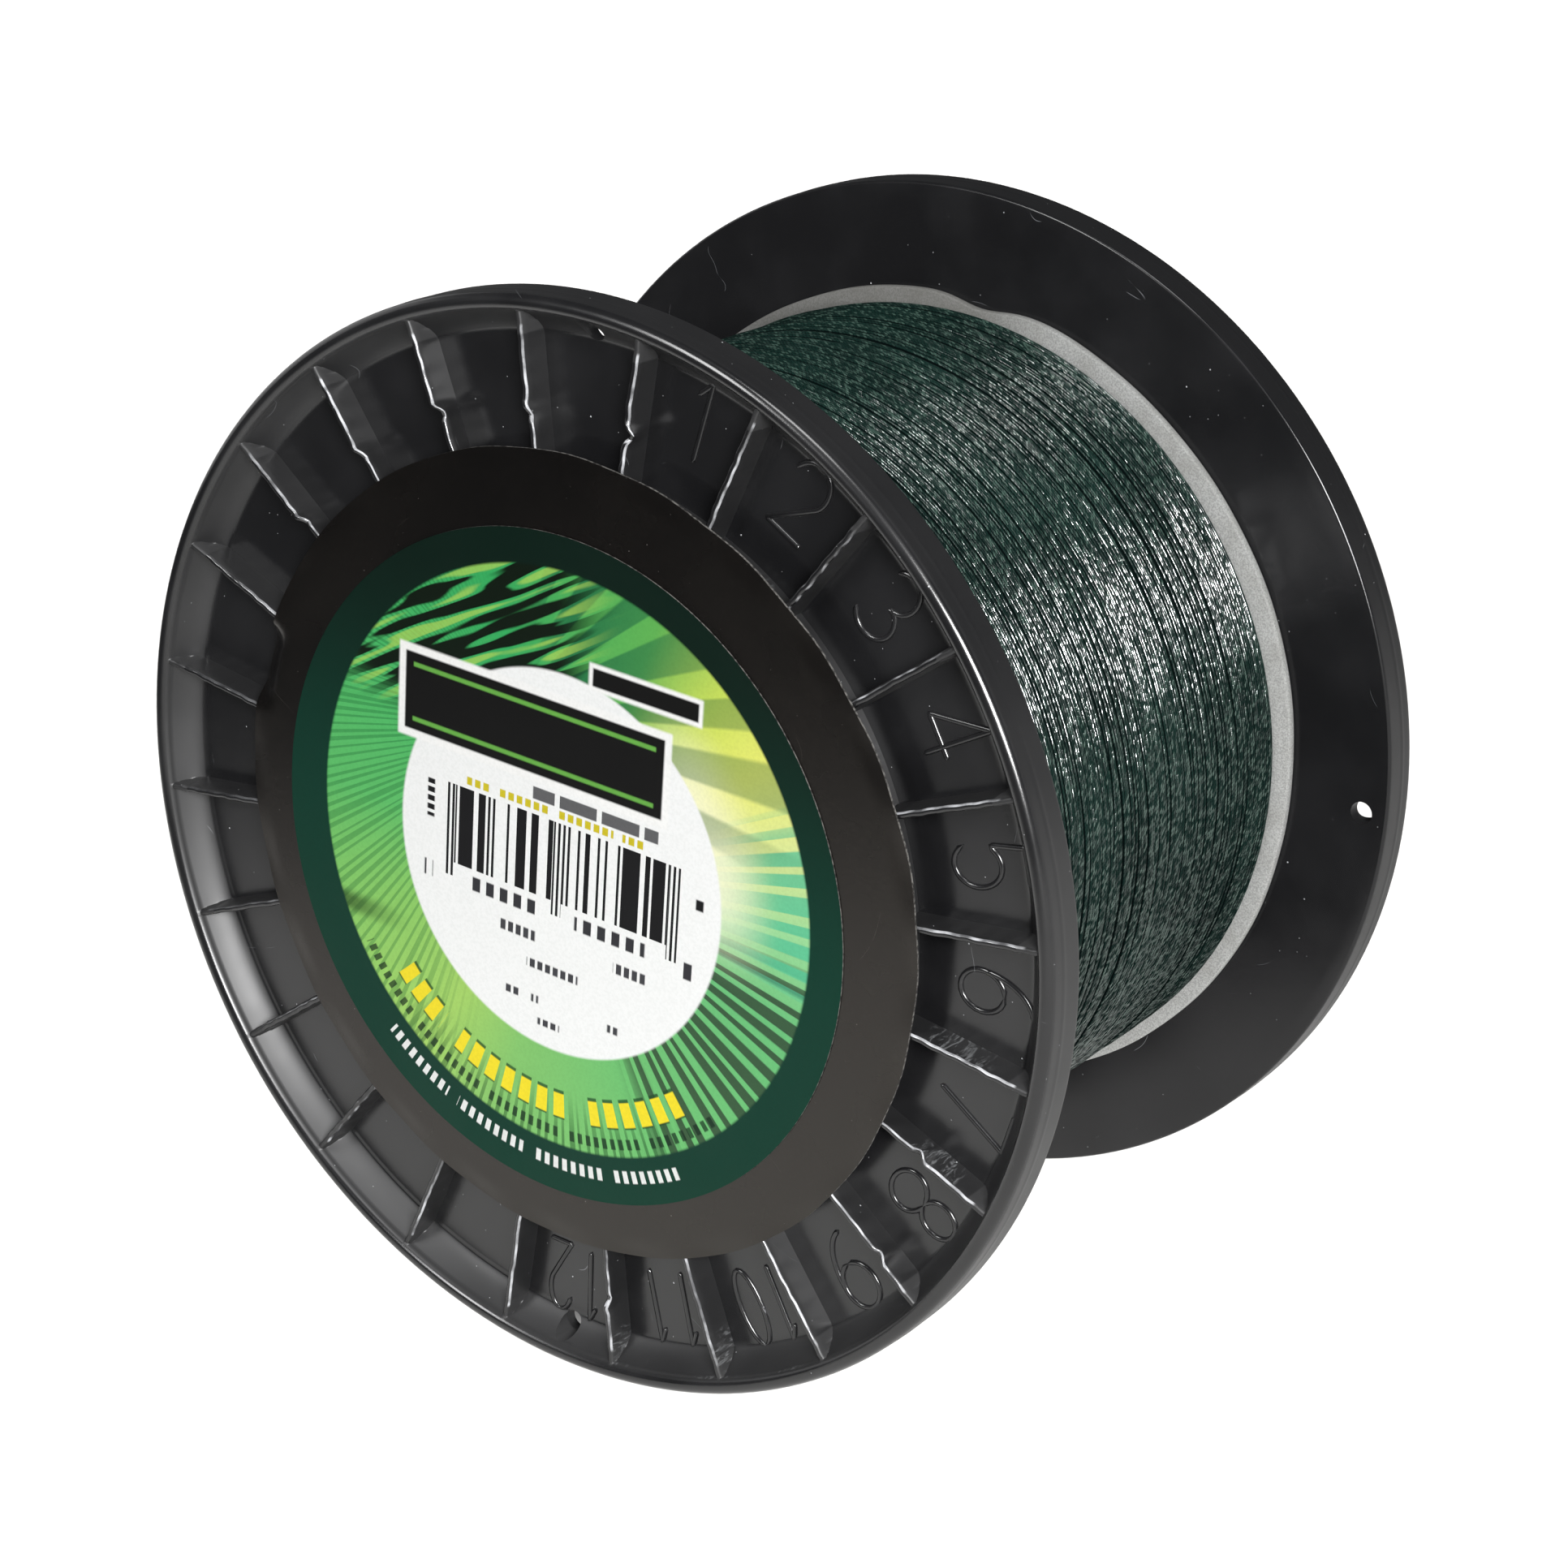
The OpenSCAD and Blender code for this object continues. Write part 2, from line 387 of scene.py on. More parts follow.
def bay_numbers():
    """The raised numbers on the floors of the bays, clockwise, with their tops outwards."""
    points, faces, start = [], [], 0
    for number in range(1, NUMBER_COUNT + 1):
        text = str(number)
        angle = math.radians(NUMBER_BAY - (number - 1) * RIB_STEP)
        outward = np.array([math.cos(angle), math.sin(angle)])
        right = np.array([math.sin(angle), -math.cos(angle)])
        width = NUMBER_W if len(text) == 1 else NUMBER_W * PAIR_SHARE
        for place, digit in enumerate(text):
            shift = (place - (len(text) - 1) / 2) * width * DIGIT_STEP
            for stroke in DIGITS[digit]:
                across = shift + stroke[:, :1] * width / 2
                out = NUMBER_AT + stroke[:, 1:] * NUMBER_H / 2
                stroke_points, stroke_faces = bead(across * right + out * outward, STROKE_W, STROKE_H)
                points.append(stroke_points + [0, 0, WEB_OUT])
                faces += [[start + corner for corner in face] for face in stroke_faces]
                start += len(stroke_points)
    return np.concatenate(points), faces


CUTTER_L = 12 * MM


def drill(piece, points):
    """Cuts the round line holes along Y through these points."""
    cutter = bpy.data.meshes.new("line_hole_cutter")
    work = bmesh.new()
    for point in points:
        place = Matrix.Translation(Vector(point)) @ Matrix.Rotation(math.pi / 2, 4, "X")
        bmesh.ops.create_cone(
            work, cap_ends=True, segments=40, radius1=HOLE_R, radius2=HOLE_R, depth=CUTTER_L, matrix=place
        )
    work.to_mesh(cutter)
    work.free()
    tool = bpy.data.objects.new("line_hole_cutter", cutter)
    bpy.context.scene.collection.objects.link(tool)
    cut = piece.modifiers.new("line_holes", "BOOLEAN")
    cut.operation = "DIFFERENCE"
    cut.solver = "EXACT"
    cut.object = tool
    bpy.context.view_layer.update()
    done = bpy.data.meshes.new_from_object(piece.evaluated_get(bpy.context.evaluated_depsgraph_get()))
    piece.modifiers.clear()
    piece.data = done
    bpy.data.objects.remove(tool)


def flange(name, seed, kinks, face):
    """One detailed flange. face turns the moulding, which looks along +Z, into its place."""
    rng = np.random.default_rng(seed)
    grid = flange_points(rng, kinks)
    rows, columns = grid.shape[:2]
    piece = mesh_object(name, face(grid), grid_faces(rows, columns, True, True))
    drill(piece, face(polar(HOLE_AT, np.radians(HOLE_ANGLES), WEB_OUT)))
    number_points, number_faces = bay_numbers()
    join([piece, mesh_object("numbers", face(number_points), number_faces)])
    piece.data.shade_smooth()
    piece.data.set_sharp_from_angle(angle=math.radians(38))
    return piece


# -------- wound line

TURNS = 150
TURN_POINTS = 120
STRAND_H = 0.42 * MM
# Length along the line from one crossing of its yarns to the next, in millimetres
PICK = 0.95
SECTION = np.radians(np.arange(0, 360, 45))
# Waves that push the turns sideways and up: length in turns, waves round the spool, size
SIDE_WAVES = ((2.3, 1, 0.03), (3.4, -2, 0.045), (5.2, 1, 0.06), (8.7, -1, 0.08), (13, 2, 0.09), (29, 1, 0.16))
LIFT_WAVES = ((2.2, 3, 0.03), (3.7, -2, 0.04), (6.1, 4, 0.04), (11, -3, 0.05), (23, 2, 0.08))
# Turns over which the sideways waves fade out towards both ends of the helix
FADE_TURNS = 12
# Short stretches where a turn has sunk between its neighbours
SUNK_STRETCHES = 90
SUNK_DEPTH = 0.16 * MM
# Room between the helix and the two washers together, and a strand's width as a share of the pitch
HELIX_PLAY = 0.3 * MM
STRAND_SHARE = 0.92
# The winding's rounded edges: how wide, and how far they drop
EDGE_W = 1.4 * MM
EDGE_DROP = 1.1 * MM
# How deep a crossing turn lies at its ends, and how far it rises in between
CROSSING_DEPTH = 0.35 * MM
CROSSING_RISE = 0.33 * MM
# Crossing turns: first and last angle in degrees, and place along the axis at each in mm
CROSSINGS = (
    (-8, 78, -4, 1.5), (35, 128, 12, 8.5), (96, 171, -12, -16.5), (-80, -15, 17, 21), (190, 262, 3, -3),
)


def strand(name, angle, y, radius, width):
    """A flattened strand round the axis through points given by angle, y and radius, with its length as U."""
    along = np.concatenate([[0], np.cumsum(np.abs(np.diff(angle)) * radius[1:])])
    across = np.cos(SECTION)[None, :] * width / 2
    up = np.sin(SECTION)[None, :] * STRAND_H / 2
    ring_r = radius[:, None] + up
    rows, columns = ring_r.shape
    points = facing_front(polar(ring_r, angle[:, None], -y[:, None] - across))
    piece = mesh_object(name, points, capped_faces(rows, columns))
    piece.data.shade_smooth()
    set_uv(piece, np.stack([np.repeat(along / MM, columns), np.tile(np.cos(SECTION), rows)], 1))
    return piece


def pack_waves(rng, waves, turn, angle):
    return sum(
        size * MM * np.sin(TAU * turn / length + count * angle + TAU * rng.random())
        for length, count, size in waves
    )


def edge_drop(y):
    """How far the surface of the winding drops near its two rounded edges."""
    inwards = np.clip((PACK_END - np.abs(y)) / EDGE_W, 0, 1)
    return EDGE_DROP * (1 - np.sqrt(1 - (1 - inwards) ** 2))


def bed():
    """The turns under the outer layer, as one closed ring that stays clear of the starter tape."""
    inner = CORE_R + 0.2 * MM
    outer = PACK_R - STRAND_H * 1.05
    edge = 1.2 * MM
    outline = np.concatenate([
        stretch((inner, -PACK_END), (outer - edge, -PACK_END), 1.2 * MM),
        bend((outer - edge, edge - PACK_END), edge, -90, 0, 5),
        stretch((outer, edge - PACK_END), (outer, PACK_END - edge), 0.4 * MM),
        bend((outer - edge, PACK_END - edge), edge, 0, 90, 5),
        stretch((outer - edge, PACK_END), (inner, PACK_END), 1.2 * MM),
        stretch((inner, PACK_END), (inner, -PACK_END), 4 * MM),
    ])
    columns = 180
    angle = np.linspace(0, TAU, columns, endpoint=False)[None, :]
    points = facing_front(polar(outline[:, :1], angle, -outline[:, 1:])).reshape(-1, 3)
    piece = mesh_object("bed", points, grid_faces(len(outline), columns, True, True), 40)
    x, y, z = points.T
    # V is past the crown of a strand nearly everywhere, so the bed takes the painted shade of the gaps
    # between the turns
    set_uv(piece, np.stack([np.arctan2(z, x) * PACK_R, y], 1) / MM)
    return piece


def wound_braid():
    """The outer layer as one helix of braid, a few turns that cross it, and the layers below."""
    rng = np.random.default_rng(41)
    turn = np.arange(TURNS * TURN_POINTS + 1) / TURN_POINTS
    angle = TAU * turn
    pitch = (2 * PACK_END - HELIX_PLAY) / TURNS
    from_end = np.minimum(turn, TURNS - turn)
    side = pack_waves(rng, SIDE_WAVES, turn, angle) * smooth_step(from_end, 0, FADE_TURNS)
    y = (turn - TURNS / 2) * pitch + side
    lift = pack_waves(rng, LIFT_WAVES, turn, angle) - 0.1 * MM
    for middle in rng.uniform(4, TURNS - 4, SUNK_STRETCHES):
        away = np.abs(turn - middle)
        lift = lift - SUNK_DEPTH * smooth_step(-away, -rng.uniform(0.07, 0.22), -0.02)
    radius = PACK_R - STRAND_H / 2 - edge_drop(y) + lift
    pieces = [strand("outer_layer", angle, y, radius, pitch * STRAND_SHARE), bed()]
    share = np.linspace(0, 1, 60)
    rise = CROSSING_RISE * smooth_step(np.minimum(share, 1 - share), 0, 0.12)
    radius = PACK_R - STRAND_H / 2 - CROSSING_DEPTH + rise
    for first, last, start_y, end_y in CROSSINGS:
        cross = np.radians(first + (last - first) * share)
        cross_y = (start_y + (end_y - start_y) * share) * MM
        pieces.append(strand("crossing", cross, cross_y, radius, pitch))
    join(pieces)
    pieces[0].name = "wound_braid"
    return pieces[0]


# -------- washers and labels

def washer(name, seed, face, dips):
    """A thin soft ring with a wavy outer edge. dips lists (angle, width, depth in mm) along that edge."""
    rng = np.random.default_rng(seed)
    columns = 360
    angle = np.linspace(0, TAU, columns, endpoint=False)
    reach = sum(
        size * np.sin(count * angle + TAU * rng.random())
        for count, size in ((2, 0.12), (3, 0.10), (5, 0.07), (9, 0.05), (23, 0.02))
    )
    for middle, width, depth in dips:
        away = (np.degrees(angle) - middle + 180) % 360 - 180
        reach = reach - depth * hump(away, 0, width)
    outer = WASHER_R + np.minimum(reach - 0.15, 0.15) * MM
    low, high = PACK_END + 0.02 * MM, WEB_IN - 0.02 * MM
    rows = []
    for inwards, level in ((0.25, 0), (0.07, 0.07), (0, 0.25), (0, 0.5), (0, 0.75), (0.07, 0.93), (0.25, 1)):
        rows.append((outer - inwards * MM, low + (high - low) * level))
    for level, shares in ((high, (0.75, 0.5, 0.25, 0)), (low, (0, 0.25, 0.5, 0.75))):
        for share in shares:
            rows.append((CORE_R + 0.1 * MM + (outer - CORE_R) * share * 0.98, level))
    points = np.concatenate([polar(radius, angle, level) for radius, level in rows])
    return mesh_object(name, face(points), grid_faces(len(rows), columns, True, True), 60)


def disc(name, centre, radius, low, high, shape=None):
    """A thin disc that looks out of the front. shape moves its (x, y, z) points; its side is material 1."""
    columns = 480
    angle = np.linspace(0, TAU, columns, endpoint=False)
    steps = np.concatenate([np.linspace(0.02, 0.8, 30), np.linspace(0.81, 1, 20)])
    layers = [polar(radius * share, angle, high) for share in steps]
    layers += [polar(radius * share, angle, low) for share in steps[::-1]]
    points = np.concatenate(layers) + [*centre, 0]
    if shape:
        points = shape(points, radius)
    piece = mesh_object(name, facing_front(points), capped_faces(len(layers), columns), 30)
    side = (len(steps) - 1) * columns
    material = np.zeros(len(piece.data.polygons), int)
    material[side:side + columns] = 1
    return piece, material


def backing_shape(points, radius):
    """The backing label sags a little between the ribs, and is bent down into one bay at the left."""
    rng = np.random.default_rng(8)
    away = np.hypot(points[:, 0], points[:, 1])
    angle = np.degrees(np.arctan2(points[:, 1], points[:, 0])) % 360
    outline = sum(
        size * np.sin(count * np.radians(angle) + TAU * rng.random())
        for count, size in ((2, 0.10), (5, 0.05), (24, 0.035))
    )
    share = away / radius
    grow = 1 + outline * MM / radius * smooth_step(share, 0.85, 1)
    points = points * np.stack([grow, grow, np.ones_like(grow)], 1)
    overhang = smooth_step(away, RING_OUT - 0.1 * MM, BACKING_R)
    in_bay = np.sin(np.radians((angle - RIB_START) * RIBS / 2)) ** 2
    drop = 0.16 * MM * in_bay * overhang
    bay = smooth_step(angle, 154.9, 158.5) * smooth_step(-angle, -169.3, -165)
    drop = drop + 1.5 * MM * bay * smooth_step(away, RING_OUT - 0.6 * MM, BACKING_R + 0.4 * MM)
    points[:, 2] -= drop
    return points


# -------- materials

def srgb(*levels):
    """A colour given in 0 to 255 as shown on a screen, in linear light."""
    shown = np.array(levels) / 255
    return *np.where(shown <= 0.04045, shown / 12.92, ((shown + 0.055) / 1.055) ** 2.4).tolist(), 1.0


class Shader:
    """Builds the nodes of one material. Most methods return the socket they make; tone is the base colour."""

    def __init__(self, name):
        self.material = bpy.data.materials.new(name)
        self.material.use_nodes = True
        self.tree = self.material.node_tree
        self.surface = next(n for n in self.tree.nodes if n.type == "BSDF_PRINCIPLED")
        self.place = self.node("ShaderNodeTexCoord").outputs["Object"]

    def node(self, kind, inputs=(), **settings):
        made = self.tree.nodes.new(kind)
        for key, value in settings.items():
            setattr(made, key, value)
        for key, value in dict(inputs).items():
            self.plug(made.inputs[key], value)
        return made

    def plug(self, socket, value):
        """Links another socket, or sets a number, a vector or a colour given in 0 to 255."""
        if isinstance(value, bpy.types.NodeSocket):
            self.tree.links.new(value, socket)
        else:
            socket.default_value = srgb(*value) if socket.type == "RGBA" else value

    def done(self, **values):
        """Sets the base colour and these inputs of the surface, and returns the material."""
        for key, value in {"Base_Color": self.tone, **values}.items():
            self.plug(self.surface.inputs[key.replace("_", " ")], value)
        return self.material

    def math(self, operation, *values, clamp=False):
        return self.node("ShaderNodeMath", enumerate(values), operation=operation, use_clamp=clamp).outputs[0]

    def vector_math(self, operation, *values):
        return self.node("ShaderNodeVectorMath", enumerate(values), operation=operation).outputs

    def axes(self, vector):
        """The X, Y and Z of a vector."""
        return self.node("ShaderNodeSeparateXYZ", {"Vector": vector}).outputs

    def vector(self, **axes):
        """A vector from its X, Y and Z, which are 0 where they aren't given."""
        return self.node("ShaderNodeCombineXYZ", axes).outputs[0]

    def chain(self, operation, values):
        """The operation on the first two values, then on its result and the third, and so on."""
        return reduce(lambda first, second: self.math(operation, first, second), values)

    def add(self, *values):
        return self.chain("ADD", values)

    def times(self, *values):
        return self.chain("MULTIPLY", values)

    def most(self, *values):
        return self.chain("MAXIMUM", values)

    def mix(self, share, first, second, mode="MIX"):
        inputs = {0: share, 6: first, 7: second}
        return self.node("ShaderNodeMix", inputs, data_type="RGBA", blend_type=mode).outputs[2]

    def paint(self, colour, *masks):
        """Lays a colour over the base colour so far, as far as the product of the masks goes."""
        self.tone = self.mix(self.times(*masks), self.tone, colour)

    def spread(self, value, low, high, to_low=0, to_high=1):
        """value taken from low..high to to_low..to_high, smoothly and held at both ends."""
        inputs = enumerate((value, low, high, to_low, to_high))
        return self.node("ShaderNodeMapRange", inputs, interpolation_type="SMOOTHSTEP").outputs[0]

    def band(self, value, low, high, soft):
        """1 where value lies between low and high, with soft edges."""
        rise = self.spread(value, low - soft, low + soft)
        fall = self.spread(value, high - soft, high + soft, 1, 0)
        return self.times(rise, fall)

    def noise(self, vector, scale, detail=2, distortion=0, roughness=0.5):
        inputs = {"Vector": vector, "Scale": scale, "Detail": detail, "Distortion": distortion}
        return self.node("ShaderNodeTexNoise", {**inputs, "Roughness": roughness}).outputs["Fac"]

    def stretched(self, vector, x, y, z):
        return self.node("ShaderNodeMapping", {"Vector": vector, "Scale": (x, y, z)}).outputs[0]

    def bump(self, height, strength, distance, **normal):
        """A bumped normal. Normal=socket bumps another normal than the surface's own."""
        inputs = {"Height": height, "Strength": strength, "Distance": distance}
        return self.node("ShaderNodeBump", {**inputs, **normal}).outputs[0]

    def near(self, point, size):
        """1 at a point of the row frame, 0 from size away."""
        away = self.vector_math("DISTANCE", self.place, point)["Value"]
        return self.spread(away, size * 0.55, size, 1, 0)

    def specks(self, scale, size, rarity):
        """Small round specks: cells per metre, share of a cell, and share of cells left empty."""
        made = self.node("ShaderNodeTexVoronoi", {"Vector": self.place, "Scale": scale})
        pick = self.node("ShaderNodeSeparateColor", {"Color": made.outputs["Color"]}).outputs[0]
        dot = self.spread(made.outputs["Distance"], size * 0.6, size, 1, 0)
        return self.times(dot, self.math("GREATER_THAN", pick, rarity))

    def hairlines(self, scale, width, keep):
        """Thin curved lines along the contours of a noise, kept where another noise is high."""
        field = self.noise(self.place, scale, 1, 0.6)
        off = self.math("ABSOLUTE", self.math("SUBTRACT", field, 0.5))
        mask = self.spread(self.noise(self.place, scale * 4, 1), keep, keep + 0.05)
        return self.times(self.spread(off, 0, width, 1, 0), mask)


def moulded_plastic(name, shine, wear_and_highlight_spots):
    """Glossy black moulded plastic with dust, hair scratches, a painted highlight on the top edges of the
    ribs, and paler spots that are partly rubbed plastic and partly painted highlights.
    """
    s = Shader(name)
    x, y, z = s.axes(s.place)
    flat = s.vector(X=x, Z=z)
    streaks = s.noise(s.vector_math("NORMALIZE", flat)["Vector"], 260, 3)
    cloudy = s.noise(s.place, 90, 3)
    grain = s.noise(s.place, 1400, 2)
    dust = s.most(s.specks(330, 0.035, 0.55), s.specks(900, 0.05, 0.75))
    hairs = s.hairlines(60, 0.0012, 0.62)
    # The drafted walls of the bays and the lip's inner wall have a duller finish than the floors
    normal_x, normal_y, normal_z = s.axes(s.node("ShaderNodeNewGeometry").outputs["Normal"])
    level = s.math("ABSOLUTE", normal_y)
    wall = s.spread(level, 0.2, 0.5, 1, 0)
    off_middle = s.math("ABSOLUTE", y)
    reach = s.vector_math("LENGTH", flat)["Value"]
    lip_wall = s.times(
        s.band(reach, WALL_FOOT - 0.1 * MM, WALL_FOOT + 2.4 * MM, 0.15 * MM),
        s.spread(off_middle, WEB_OUT - 0.4 * MM, WEB_OUT - 0.2 * MM),
    )
    wear_or_highlight_near = s.most(*[s.near(point, size) for point, size in wear_and_highlight_spots])
    ragged = s.spread(s.noise(s.stretched(s.place, 1, 0.25, 1), 1500, 4, 1, 0.7), 0.5, 0.66)
    wear_and_highlight_mask = s.times(wear_or_highlight_near, ragged, wall)
    s.tone = s.mix(s.spread(cloudy, 0.35, 0.7), (13, 13, 14), (18, 18, 19))
    s.paint((14, 14, 15), wall)
    # Painted highlight on the rounded top edges of the ribs, only where they face the key light up and to the
    # right, uneven along the ribs and weaker at the left
    depth = s.spread(off_middle, RIB_TOP - 0.7 * MM, RIB_TOP - 0.4 * MM)
    inside = s.spread(reach, 56.4 * MM, 56.9 * MM, 1, 0)
    bevel = s.band(level, 0.35, 0.93, 0.06)
    facing_key_light = s.spread(s.add(normal_x, normal_z), 0, 0.35)
    uneven = s.spread(s.noise(s.place, 330, 3), 0.35, 0.65, 0.15, 1)
    highlight_weaker_at_left = s.spread(x, -48 * MM, -34 * MM, 0.1, 1)
    s.paint((160, 161, 164), bevel, inside, depth, facing_key_light, uneven, highlight_weaker_at_left, 0.85)
    s.paint((176, 178, 180), dust, 0.6)
    s.paint((150, 152, 156), hairs, 0.28)
    # Paler spots: rubbed plastic at most of them, and at the two on the seat ring's outer wall a painted
    # highlight
    s.paint((120, 122, 124), wear_and_highlight_mask, 0.3)
    rough = s.spread(cloudy, 0.3, 0.7, 0.19, 0.25)
    for mask, duller in ((wall, 0.26), (lip_wall, 0.28), (dust, 0.4), (wear_and_highlight_mask, 0.15)):
        rough = s.add(rough, s.times(mask, duller))
    waves = s.noise(s.place, 260)
    height = s.add(s.times(grain, 0.12), s.times(streaks, 0.2), s.times(waves, 0.7))
    normal = s.bump(height, 0.22, 0.05 * MM)
    return s.done(Roughness=rough, Normal=normal, IOR=1.55, Specular_IOR_Level=shine)


def core_plastic():
    """Satin black plastic of the core."""
    s = Shader("core_plastic")
    grain = s.noise(s.place, 1200, 3)
    s.tone = s.mix(s.spread(s.noise(s.place, 120, 2), 0.35, 0.7), (36, 36, 38), (46, 46, 48))
    s.paint((150, 150, 150), s.specks(400, 0.04, 0.6), 0.5)
    rough = s.spread(grain, 0.3, 0.7, 0.38, 0.52)
    return s.done(Roughness=rough, Normal=s.bump(grain, 0.25, 0.04 * MM))


def braid():
    """Dark green braided line. U runs along the strand in millimetres, V across it from -1 to 1."""
    s = Shader("green_braid")
    uv = s.node("ShaderNodeUVMap", uv_map="strand").outputs[0]
    along, across, _ = s.axes(uv)
    slant = s.times(s.math("ABSOLUTE", across), 0.45)
    half = s.times(s.math("GREATER_THAN", across, 0), 0.5)
    phase = s.add(s.times(along, 1 / PICK), slant, half)
    number = s.add(s.math("FLOOR", s.times(phase, 2)), s.times(half, 0.37))
    random = s.node("ShaderNodeTexWhiteNoise", {"W": number}, noise_dimensions="1D")
    chance, tilt, _ = s.axes(random.outputs["Color"])
    wave = s.math("ABSOLUTE", s.math("SINE", s.times(phase, TAU)))
    crown = s.spread(s.math("ABSOLUTE", across), 0.66, 0.98, 1, 0)
    pick = s.times(s.spread(wave, 0, 0.6), crown)
    patch = s.noise(s.place, 70, 3)
    s.tone = s.mix(s.spread(patch, 0.35, 0.68), (2, 6, 5), (3, 10, 8))
    s.paint((26, 38, 33), s.spread(chance, 0.5, 1), 0.45)
    # Painted shade: each strand is darker at its edges and at the ends of its picks, where the grooves lie
    s.tone = s.mix(s.spread(pick, 0, 0.8), (1, 2, 2), s.tone)
    # The strand leans along its length, slowly in long stretches and at random from pick to pick, so that
    # its picks catch the light in turn
    x, _, z = s.axes(s.place)
    lengthwise = s.vector(X=s.times(z, -1 / PACK_R), Z=s.times(x, 1 / PACK_R))
    drift = s.noise(s.stretched(uv, 0.14, 0.05, 1), 1, 4)
    normal = s.node("ShaderNodeNewGeometry").outputs["Normal"]
    for lean in (s.spread(drift, 0.25, 0.75, -0.13, 0.13), s.times(s.add(tilt, -0.5), 0.14)):
        normal = s.vector_math("MULTIPLY_ADD", lengthwise, lean, normal)["Vector"]
    glint = s.times(s.spread(pick, 0.05, 0.85, 0.03, 1), s.spread(chance, 0.15, 1, 0.03, 0.66))
    return s.done(
        Roughness=s.spread(chance, 0, 1, 0.24, 0.15), IOR=1.5,
        Specular_IOR_Level=glint, Normal=s.bump(pick, 0.25, 0.03 * MM, Normal=normal),
    )


def felt():
    """Pale grey speckled washer, with painted shade near the top of the rear one."""
    s = Shader("washer_felt")
    fine = s.noise(s.place, 5200, 2)
    blotch = s.noise(s.place, 260, 3)
    s.tone = s.mix(s.spread(fine, 0.3, 0.7), (150, 151, 149), (186, 187, 185))
    s.paint((142, 141, 136), s.spread(blotch, 0.4, 0.7), 0.4)
    s.paint((80, 82, 80), s.specks(1100, 0.10, 0.8), 0.4)
    # Painted shade: the rear washer is darker near its top
    s.paint((96, 94, 88), s.near((-10 * MM, WEB_IN, 47.5 * MM), 26 * MM), 0.6)
    return s.done(Roughness=0.92, Normal=s.bump(fine, 0.4, 0.05 * MM))


def paper_tape():
    """Creped paper tape."""
    s = Shader("paper_tape")
    crepe = s.noise(s.stretched(s.place, 1, 0.15, 1), 2600, 3)
    s.tone = s.mix(s.spread(crepe, 0.3, 0.7), (205, 190, 150), (226, 214, 180))
    return s.done(Roughness=0.8, Normal=s.bump(crepe, 0.6, 0.06 * MM))


def paper_edge():
    """The cut edge of the labels, where the pale core of the paper shows."""
    s = Shader("paper_edge")
    fray = s.noise(s.place, 2500, 3)
    s.tone = s.mix(s.spread(fray, 0.35, 0.65), (44, 42, 41), (128, 126, 122))
    return s.done(Roughness=0.8)


def backing_paper():
    """Satin black printed paper with a faint warm tone, fine tooth, dust and a few rub marks."""
    s = Shader("backing_paper")
    tooth = s.noise(s.place, 2200, 3)
    cloud = s.noise(s.place, 55, 4)
    rubs = s.hairlines(50, 0.0014, 0.62)
    dust = s.most(s.specks(420, 0.035, 0.5), s.specks(1300, 0.06, 0.8))
    s.tone = s.mix(s.spread(cloud, 0.3, 0.7), (11, 10, 10), (15, 13, 12))
    s.paint((30, 27, 25), s.spread(tooth, 0.5, 0.75), 0.3)
    s.paint((120, 112, 106), rubs, 0.1)
    s.paint((170, 165, 160), dust, 0.3)
    return s.done(
        Roughness=s.spread(cloud, 0.3, 0.7, 0.24, 0.30), IOR=1.5,
        Specular_Tint=(255, 246, 236), Normal=s.bump(tooth, 0.25, 0.03 * MM),
    )


ART_X = -0.85 * MM
ART_Z = -0.43 * MM
ART_TURN = math.radians(4.5)


